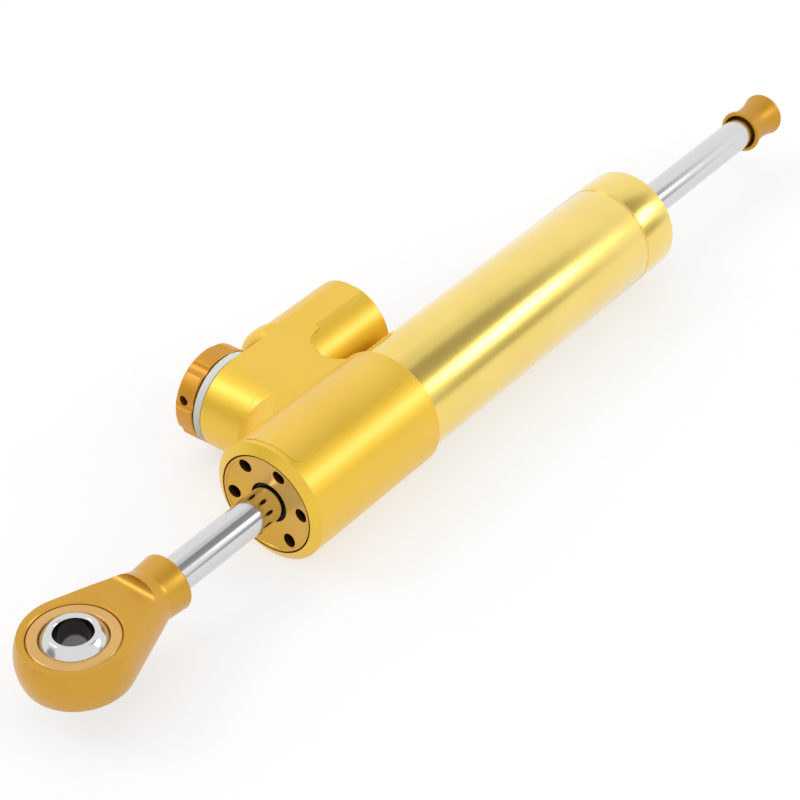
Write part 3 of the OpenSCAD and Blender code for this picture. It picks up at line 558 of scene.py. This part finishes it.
def make_rear_cap():
    start = low("rear_cap").x
    liner_end = high("inner_liner").x + 0.1
    inner = [(r, TUBE_END - h) for r, h in guide_profile(TUBE_END - start)]
    cap = ring("turned_rear_cap", inner[::-1] + [
        (TUBE_R - 0.5, TUBE_END), (TUBE_R - PRESS_GAP, TUBE_END - 0.5),
        (TUBE_R - PRESS_GAP, TUBE_JOINT + 0.4),
        (TUBE_R - 0.2, TUBE_JOINT + 0.4), (TUBE_R - 0.2, TUBE_JOINT + 0.1), (TUBE_R - 1.32, TUBE_JOINT + 0.1),
        (TUBE_R - 1.32, liner_end), (LINER_R - 1.02, liner_end), (LINER_R - 1.02, start)
    ], radius=FINE_ROUND, segments=FULL_ROUND)
    finish(cap, "cylinder", TUBE_GOLD, "anodised_tube", "rear_cap")


def make_gland():
    inner = [(r, HEAD_X + h) for r, h in guide_profile(GLAND_END + 2 - HEAD_X, 0.9)]
    gland = turned("pin_hole_gland", softened(inner[::-1] + [
        (MOUTH_R + 0.05, HEAD_X + 0.9), (DISH_R, HEAD_X + 0.3), (DISH_R + 0.1, HEAD_X), (GLAND_R, HEAD_X),
        (GLAND_R, HEAD_X + 2), (GLAND_BORE_R - 0.04, HEAD_X + 2), (GLAND_BORE_R - 0.04, GLAND_END),
        (LINER_R - 1.02, GLAND_END), (LINER_R - 1.02, GLAND_END + 2)
    ], 0.12, closed=False), segments=192, closed=True)
    for i in range(PIN_COUNT):
        turn = PIN_TURN + 2 * math.pi * i / PIN_COUNT
        place = at(HEAD_X - 1, PIN_CIRCLE_R * math.cos(turn), PIN_CIRCLE_R * math.sin(turn))
        drill = turned("drill", [(0, 0), (PIN_HOLE_R, 0), (PIN_HOLE_R, 4.5), (0, 5.2)], place, 48)
        combine(gland, drill, "DIFFERENCE")
    finish(gland, "cylinder", GLAND_GOLD, "anodised_head", "front_gland", angle=28)


def make_wipers():
    for name, mouth, way, node in (
        ("front_lip_seal", HEAD_X, 1, "front_wiper"), ("rear_lip_seal", TUBE_END, -1, "rear_wiper")
    ):
        profile = [(ROD_R + 0.04, 4.1), (WIPER_R - PRESS_GAP, 4.1), (WIPER_R - PRESS_GAP, 1.8),
                   (ROD_R + 1.1, 1.8),
                   (ROD_R + 0.6, 2.4), (ROD_R + 0.3, 1.5), (ROD_R + 0.04, 1.4)]
        seal = ring(name, [(r, mouth + way * h) for r, h in profile], radius=0.08, segments=96)
        finish(seal, "cylinder", NITRILE, "nitrile", node)


def make_washer():
    spindle_r = 2.7
    washer = ring("acetal_washer", [
        (spindle_r, WASHER_LOW.y), (WASHER_R, WASHER_LOW.y), (WASHER_R, WASHER_HIGH.y),
        (spindle_r, WASHER_HIGH.y)
    ], at(BARREL_X, turn=ALONG_Y), radius=0.15, segments=160)
    hole = turned("hole", [(0, -3), (1.05, -3), (1.05, 3), (0, 3)],
                  at(BARREL_X + 6, WASHER_LOW.y, 0, ALONG_Y), 32)
    combine(washer, hole, "DIFFERENCE")
    finish(washer, "cylinder", ACETAL, "white_plastic", "adjuster_washer")


def make_knob():
    hub_back = KNOB_BACK - 0.5
    hub_r = 7.65
    bore_end = KNOB_FRONT - 1.5
    roof = low("detent_ball").y + 1.94
    profile = [
        (0, bore_end), (2.52, bore_end), (2.52, hub_back), (5.05, hub_back), (5.05, hub_back + 0.1),
        (5.65, roof), (6.35, roof), (6.95, hub_back + 0.1), (6.95, hub_back),
        (hub_r, hub_back), (hub_r, KNOB_BACK), (KNOB_R - 0.3, KNOB_BACK), (KNOB_R, KNOB_BACK + 0.3),
        (KNOB_R, KNOB_FRONT - 0.6), (KNOB_R - 0.6, KNOB_FRONT), (KNOB_R - 2.2, KNOB_FRONT),
        (KNOB_R - 2.6, KNOB_FRONT - 0.5), (0, KNOB_FRONT - 0.5)
    ]
    rounded = softened(profile, closed=False)
    knob = turned("fluted_knob", rounded, at(BARREL_X, turn=ALONG_Y), FULL_ROUND)
    flute_r = (FLUTE_WIDTH ** 2 / 4 + FLUTE_DEPTH ** 2) / (2 * FLUTE_DEPTH)
    reach = KNOB_R - FLUTE_DEPTH + flute_r
    for i in range(FLUTE_COUNT):
        turn = FLUTE_TURN + 2 * math.pi * i / FLUTE_COUNT
        place = at(BARREL_X + reach * math.cos(turn), 0, reach * math.sin(turn), ALONG_Y)
        flute = turned("flute", [(0, hub_back - 1), (flute_r, hub_back - 1), (flute_r, KNOB_FRONT + 1),
                                 (0, KNOB_FRONT + 1)], place, 96)
        combine(knob, flute, "DIFFERENCE")
    around = Matrix.Translation((BARREL_X, SCREW_Y, 0)) @ Matrix.Rotation(-SCREW_TURN, 4, "Y") @ ALONG_X
    hole = turned("hole", [(0, 2), (SCREW_R, 2), (SCREW_R, KNOB_R + 2), (0, KNOB_R + 2)], around, 48)
    combine(knob, hole, "DIFFERENCE")
    finish(knob, "adjuster", KNOB_GOLD, "anodised_dark", "adjuster_knob", angle=26)
    start, end = 2.52, 7.02
    screw = turned("socket_screw", softened([
        (0, start), (SCREW_R - 0.25, start), (SCREW_R - PRESS_GAP, start + 0.3),
        (SCREW_R - PRESS_GAP, end - 0.2),
        (SCREW_R - 0.2, end), (0, end)], 0.05, closed=False), around, 48)
    socket = turned("socket", [(0, end - 1.5), (0.65, end - 1.5), (0.65, end + 1), (0, end + 1)], around, 6)
    combine(screw, socket, "DIFFERENCE")
    finish(screw, "adjuster", STEEL, "steel", "knob_grub_screw", angle=26)


# Rod, eye, bearing and end piece

def make_rod():
    start = low("piston_rod").x
    end = high("piston_rod").x
    step = SPOOL_X + 2.6
    piston = [low("piston").x, high("piston").x]
    groove_r = ROD_R - 0.6
    clip_a = piston[0] - 1.04
    clip_b = piston[1]
    rod = turned("chromed_rod", softened([
        (0, start), (ROD_R - 0.5, start), (ROD_R, start + 0.5),
        (ROD_R, clip_a), (groove_r, clip_a), (groove_r, clip_a + 1.04), (ROD_R, clip_a + 1.04),
        (ROD_R, clip_b), (groove_r, clip_b), (groove_r, clip_b + 1.04), (ROD_R, clip_b + 1.04),
        (ROD_R, step - 0.3), (ROD_R - 0.3, step), (3, step), (3, end - 0.5), (2.5, end), (0, end)
    ], 0.06, closed=False), segments=128)
    finish(rod, "rod", CHROME, "chrome_steel", "piston_rod")


def make_eye():
    lean = math.atan2(NECK_R, NECK_X - EYE_SHIFT) + math.acos(
        EYE_R / math.hypot(NECK_X - EYE_SHIFT, NECK_R))
    head = [
        (EYE_R * math.sin(a), EYE_SHIFT + EYE_R * math.cos(a))
        for a in [math.pi - (math.pi - lean) * i / 48 for i in range(49)]
    ]
    neck = [
        (NECK_R + 0.45, NECK_X - 1.35), (NECK_R + 0.14, NECK_X - 0.6), (NECK_R, NECK_X),
        (NECK_R + 0.04, NECK_X + 0.7)
    ]
    end_round = 0.6
    shank = arc((SHANK_R - end_round, SHANK_END - end_round), end_round, 0, 90, 8)
    outline = [(0, head[0][1])] + head[1:] + neck + shank + [(0, SHANK_END)]
    eye = turned("milled_eye", outline, segments=FULL_ROUND)
    centre = (FLAT_END - FLAT_FILLET, EYE_T / 2 + FLAT_FILLET)
    cut = [(-20, 20), (-20, EYE_T / 2)] + arc(centre, FLAT_FILLET, -90, 0, 10) + [(FLAT_END, 20)]
    for side in (-1, 1):
        mill = prism("mill", [(x, side * z) for x, z in cut], -20, 20, Matrix.Rotation(math.pi / 2, 4, "X"))
        combine(eye, mill, "DIFFERENCE")
    bore_r = RACE_R + PRESS_GAP
    bore = turned("bore", [
        (0, -8), (bore_r + 0.3, -8), (bore_r + 0.3, -EYE_T / 2), (bore_r, -EYE_T / 2 + 0.3),
        (bore_r, EYE_T / 2 - 0.3), (bore_r + 0.3, EYE_T / 2), (bore_r + 0.3, 8), (0, 8)
    ], ALONG_Z, 192)
    combine(eye, bore, "DIFFERENCE")
    start = low("piston_rod").x - 0.6
    socket = turned("socket", [(0, start), (ROD_R + PRESS_GAP, start), (ROD_R + PRESS_GAP, SHANK_END + 2),
                               (0, SHANK_END + 2)], segments=96)
    combine(eye, socket, "DIFFERENCE")
    finish(eye, "rod", EYE_GOLD, "anodised_head", "rod_eye", angle=28)


def make_bearing():
    inner_r = BALL_R + 0.04
    open_z = RACE_HALF - 0.55
    tilt = math.asin(open_z / inner_r)
    track = [
        (inner_r * math.cos(a), inner_r * math.sin(a)) for a in [-tilt + 2 * tilt * i / 24 for i in range(25)]
    ]
    lip = 0.35
    mouth = math.sqrt(BALL_R ** 2 - RACE_HALF ** 2) + 0.55
    race = ring("bearing_ring", track + [
        (mouth, RACE_HALF), (RACE_R - lip, RACE_HALF), (RACE_R, RACE_HALF - lip),
        (RACE_R, -RACE_HALF + lip), (RACE_R - lip, -RACE_HALF), (mouth, -RACE_HALF)
    ], ALONG_Z, radius=0.1, segments=192)
    finish(race, "rod", RACE_STEEL, "race_steel", "bearing_race")
    half = high("bearing_ball").z
    top = math.asin(half / BALL_R)
    rim = 0.3
    outer = [
        (BALL_R * math.cos(a), BALL_R * math.sin(a)) for a in [-top + 2 * top * i / 40 for i in range(41)]
    ]
    centre = ring("swivel_ball", outer + [
        (BOLT_R + rim, half), (BOLT_R, half - rim), (BOLT_R, -half + rim), (BOLT_R + rim, -half)
    ], ALONG_Z, radius=0.1, segments=192)
    finish(centre, "ball", BALL_CHROME, "chrome_steel", "bearing_ball")


def make_end_piece():
    bead_r = 0.65
    end_round = 0.4
    waist_end = SPOOL_END - SPOOL_X - end_round
    sag = SPOOL_R - SPOOL_WAIST_R
    curve = (waist_end ** 2 / 4 + sag ** 2) / (2 * sag)
    bead_end = 1.87 * bead_r
    thread_end = high("piston_rod").x + 0.4
    waist = [
        (SPOOL_WAIST_R + curve - math.sqrt(curve ** 2 - (h - waist_end / 2) ** 2), SPOOL_X + h)
        for h in [bead_end + (waist_end - bead_end) * i / 24 for i in range(24)]
    ]
    piece = turned("waisted_end", [
        (0, thread_end), (3.02, thread_end), (3.02, SPOOL_X + 2.62), (ROD_R + PRESS_GAP, SPOOL_X + 2.62),
        (ROD_R + PRESS_GAP, SPOOL_X + 1.6), (ROD_R + 0.25, SPOOL_X + 0.9), (ROD_R + 0.6, SPOOL_X)
    ] + arc((SPOOL_R - bead_r, SPOOL_X + bead_r), bead_r, -90, 60, 14) + waist
        + arc((SPOOL_R - end_round, SPOOL_END - end_round), end_round, 0, 90, 8) + [(0, SPOOL_END)],
        segments=160)
    finish(piece, "rod", SPOOL_GOLD, "anodised_dark", "rod_end_cap")


for node_name, node_object in frame["nodes"].items():
    slot_name = next(s["material_slot"] for s in frame["record"]["subparts"] if s["node"] == node_name)
    node_object.data.materials.clear()
    node_object.data.materials.append(SLOT_MATERIALS[slot_name])

make_head()
make_tube()
make_rear_cap()
make_gland()
make_wipers()
make_washer()
make_knob()
make_rod()
make_eye()
make_bearing()
make_end_piece()


# Floor, light and camera

# Where the room is darker beside the two soft boxes: azimuth, elevation, inner and outer reach, depth
DARK_CORNERS = ((-34, 50, 7, 22, 0.65), (6, 62, 6, 20, 0.2), (-52, 4, 5, 15, 0.6), (146, 13, 6, 22, 0.65))
LIGHT_DISTANCE = 1.5
LIT_SHARE = 0.6


def make_floor():
    bm = bmesh.new()
    bmesh.ops.create_grid(bm, x_segments=1, y_segments=1, size=3000)
    floor = to_object("floor", bm, Matrix.Translation((0, 0, low("head_block").z)))
    material, tree = blank("pale studio floor")
    path = add(tree, "ShaderNodeLightPath")
    direct = add(tree, "ShaderNodeMath", {"operation": "MAXIMUM"},
                 {0: path.outputs["Is Camera Ray"], 1: path.outputs["Is Transmission Ray"]})
    seen = add(tree, "ShaderNodeMath", {"operation": "MAXIMUM"},
               {0: direct.outputs[0], 1: path.outputs["Is Glossy Ray"]})
    matte = add(tree, "ShaderNodeBsdfDiffuse", inputs={"Color": linear("#FAFAFA")})
    lit = add(tree, "ShaderNodeEmission", inputs={"Strength": seen.outputs[0]})
    share = add(tree, "ShaderNodeMixShader", inputs={0: LIT_SHARE, 1: matte.outputs[0], 2: lit.outputs[0]})
    close(tree, share)
    floor.data.materials.append(material)


def make_world():
    world = bpy.data.worlds.new("studio")
    bpy.context.scene.world = world
    world.use_nodes = True
    tree = world.node_tree
    tree.nodes.clear()
    path = add(tree, "ShaderNodeLightPath")
    seen = add(tree, "ShaderNodeMath", {"operation": "MAXIMUM"},
               {0: path.outputs["Is Camera Ray"], 1: path.outputs["Is Transmission Ray"]})
    way = add(tree, "ShaderNodeTexCoord").outputs["Generated"]
    room = 1.0
    for turn, rise, inner, outer, depth in DARK_CORNERS:
        near = add(tree, "ShaderNodeVectorMath", {"operation": "DOT_PRODUCT"},
                   {0: way, 1: bearing(turn, rise)}).outputs["Value"]
        shade_here = add(tree, "ShaderNodeMapRange", {"interpolation_type": "SMOOTHSTEP"}, {
            "Value": near, "From Min": math.cos(math.radians(outer)),
            "From Max": math.cos(math.radians(inner)), "To Max": depth}).outputs[0]
        room = add(tree, "ShaderNodeMath", {"operation": "SUBTRACT"}, {0: room, 1: shade_here}).outputs[0]
    strength = add(tree, "ShaderNodeMath", {"operation": "MAXIMUM"}, {0: seen.outputs[0], 1: room})
    sky = add(tree, "ShaderNodeBackground", inputs={"Color": (1, 1, 1, 1), "Strength": strength.outputs[0]})
    add(tree, "ShaderNodeOutputWorld", inputs={"Surface": sky.outputs[0]})


def bearing(turn, rise):
    """A direction from its azimuth and elevation in degrees."""
    turn, rise = math.radians(turn), math.radians(rise)
    return Vector((math.cos(rise) * math.cos(turn), math.cos(rise) * math.sin(turn), math.sin(rise)))


def make_soft_box(name, turn, rise, width, height, brightness):
    """A lamp at LIGHT_DISTANCE metres that looks brightness times as bright as white paper."""
    middle = Vector((0.12, 0.01, 0))
    light = bpy.data.lights.new(name, "AREA")
    light.shape = "RECTANGLE"
    light.size = width
    light.size_y = height
    light.energy = brightness * math.pi * width * height
    lamp = bpy.data.objects.new(name, light)
    bpy.context.scene.collection.objects.link(lamp)
    lamp.location = middle + bearing(turn, rise) * LIGHT_DISTANCE
    lamp.rotation_euler = (-bearing(turn, rise)).to_track_quat("-Z", "Y").to_euler()
    lamp.visible_camera = False


def make_camera():
    azimuth, elevation, roll = (math.radians(a) for a in (-51.986, 37.404, -0.338))
    back = Vector((math.sin(azimuth) * math.cos(elevation), -math.cos(azimuth) * math.cos(elevation),
                   math.sin(elevation)))
    right = Vector((math.cos(azimuth), math.sin(azimuth), 0))
    up = back.cross(right)
    side = right * math.cos(roll) + up * math.sin(roll)
    top = up * math.cos(roll) - right * math.sin(roll)
    data = bpy.data.cameras.new("camera")
    data.lens = 106.705
    data.sensor_width = 36
    data.shift_x = -0.00123
    camera = bpy.data.objects.new("camera", data)
    bpy.context.scene.collection.objects.link(camera)
    turn = Matrix((side, top, back)).transposed().to_4x4()
    camera.matrix_world = Matrix.Translation((-0.22496, -0.25607, 0.31747)) @ turn
    bpy.context.scene.camera = camera


make_floor()
make_world()
make_soft_box("right soft box", -45, 28, 0.53, 0.34, 4.1)
make_soft_box("left soft box", 124, 46, 0.55, 0.4, 3.8)
make_camera()
bpy.context.scene.view_settings.view_transform = "Standard"
